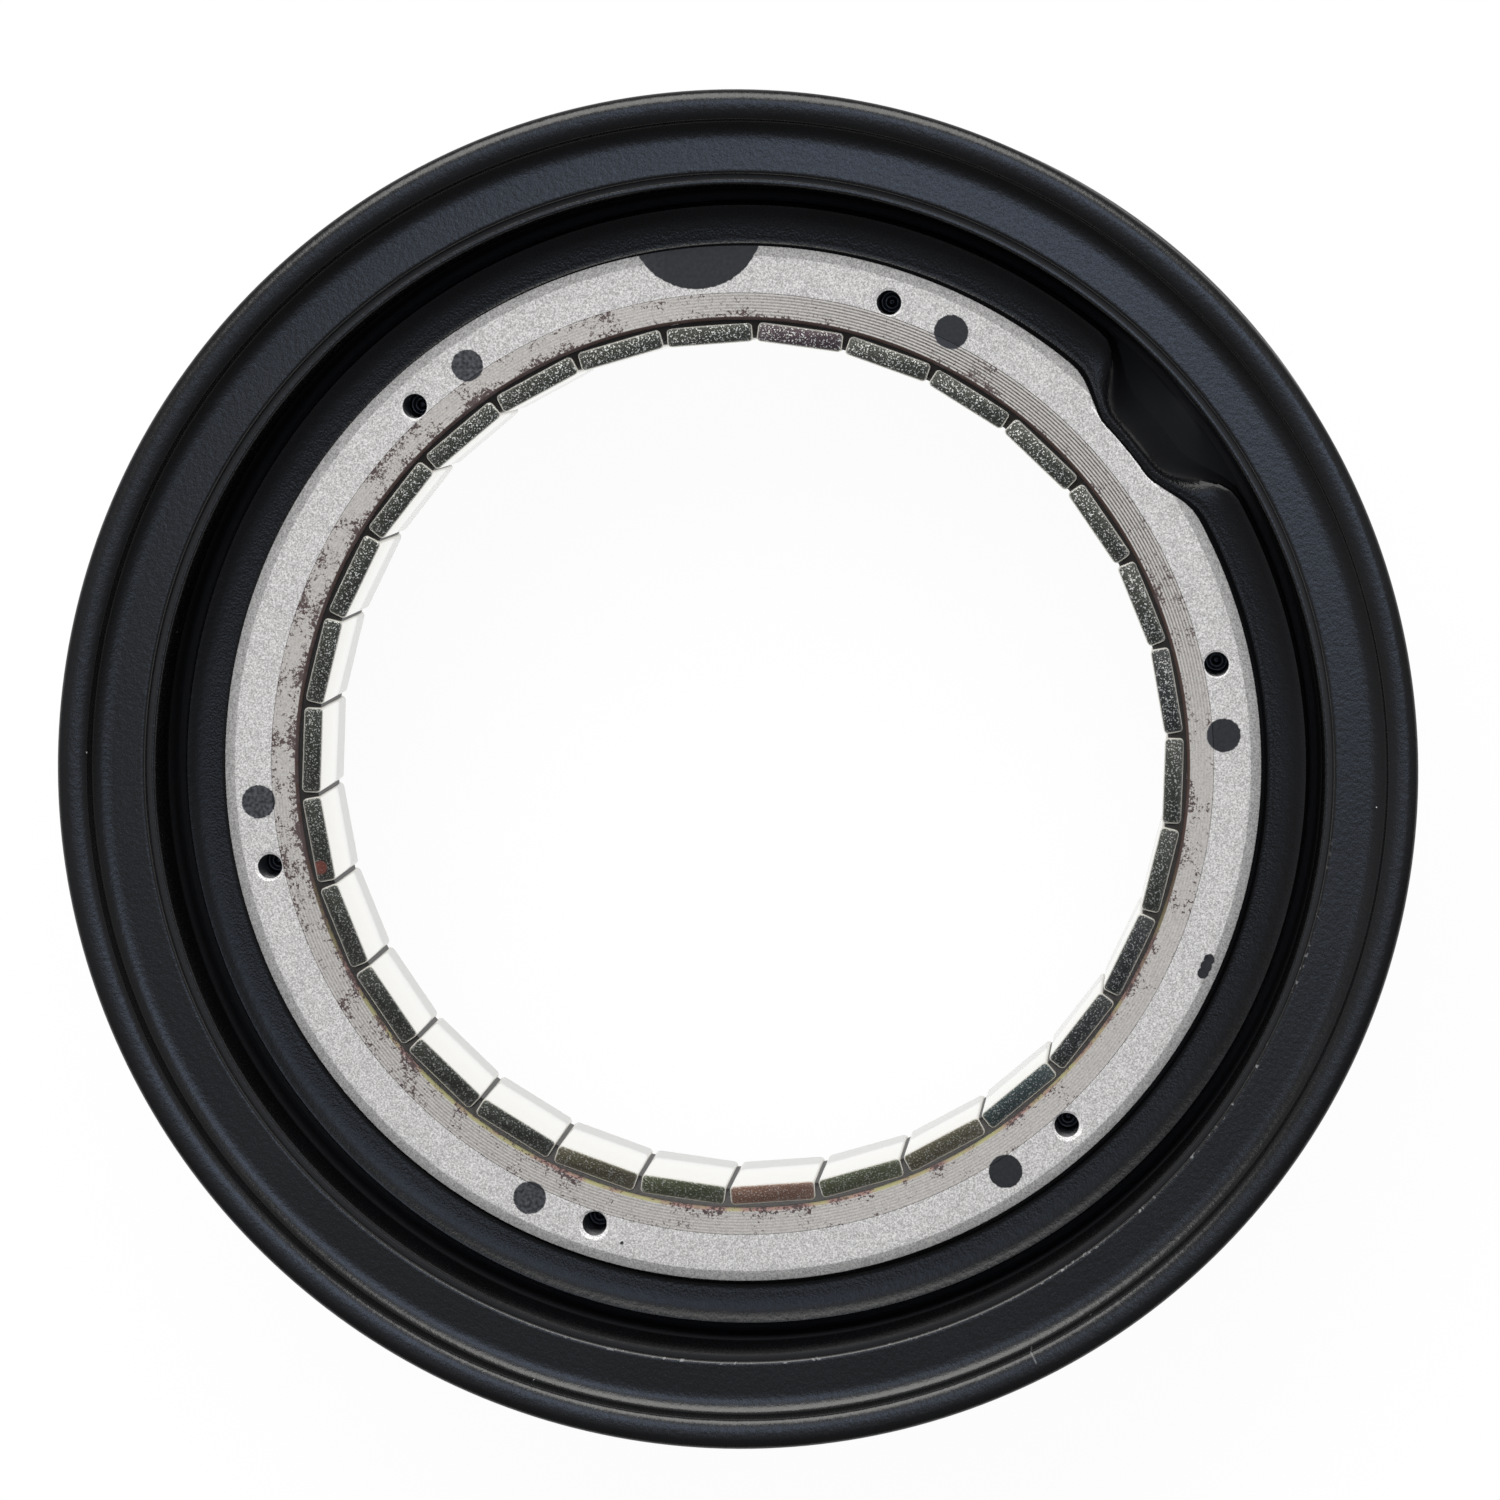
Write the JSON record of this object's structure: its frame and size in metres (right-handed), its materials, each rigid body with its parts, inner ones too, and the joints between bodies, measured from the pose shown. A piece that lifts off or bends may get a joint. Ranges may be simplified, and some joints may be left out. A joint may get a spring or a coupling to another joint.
{
  "type": "hub motor rotor",
  "caption": "Cast scooter wheel rim with a machined hub face, a pressed-in steel ring and a ring of block magnets round an open bore.",
  "frame": {"origin": "centre of the footprint, on the wheel's axis, at the height of the rear lip that the rotor lies on", "axes": "+Z along the wheel's axis, out of the front hub face that the picture shows; +Y up and +X right in the picture"},
  "size_m": [0.1852, 0.1852, 0.06],
  "materials": {
    "casting": "satin black powder coat on cast aluminium, with bare machined hub faces",
    "ring": "fine turned, with specks of rust",
    "magnets": "dull dark nickel plate, pitted and scratched"
  },
  "bodies": {
    "root": {"rim_casting": "casting", "flux_ring": "ring", "magnet_01": "magnets", "magnet_02": "magnets", "magnet_03": "magnets", "magnet_04": "magnets", "magnet_05": "magnets", "magnet_06": "magnets", "magnet_07": "magnets", "magnet_08": "magnets", "magnet_09": "magnets", "magnet_10": "magnets", "magnet_11": "magnets", "magnet_12": "magnets", "magnet_13": "magnets", "magnet_14": "magnets", "magnet_15": "magnets", "magnet_16": "magnets", "magnet_17": "magnets", "magnet_18": "magnets", "magnet_19": "magnets", "magnet_20": "magnets", "magnet_21": "magnets", "magnet_22": "magnets", "magnet_23": "magnets", "magnet_24": "magnets", "magnet_25": "magnets", "magnet_26": "magnets", "magnet_27": "magnets", "magnet_28": "magnets", "magnet_29": "magnets", "magnet_30": "magnets"}
  },
  "joints": []
}
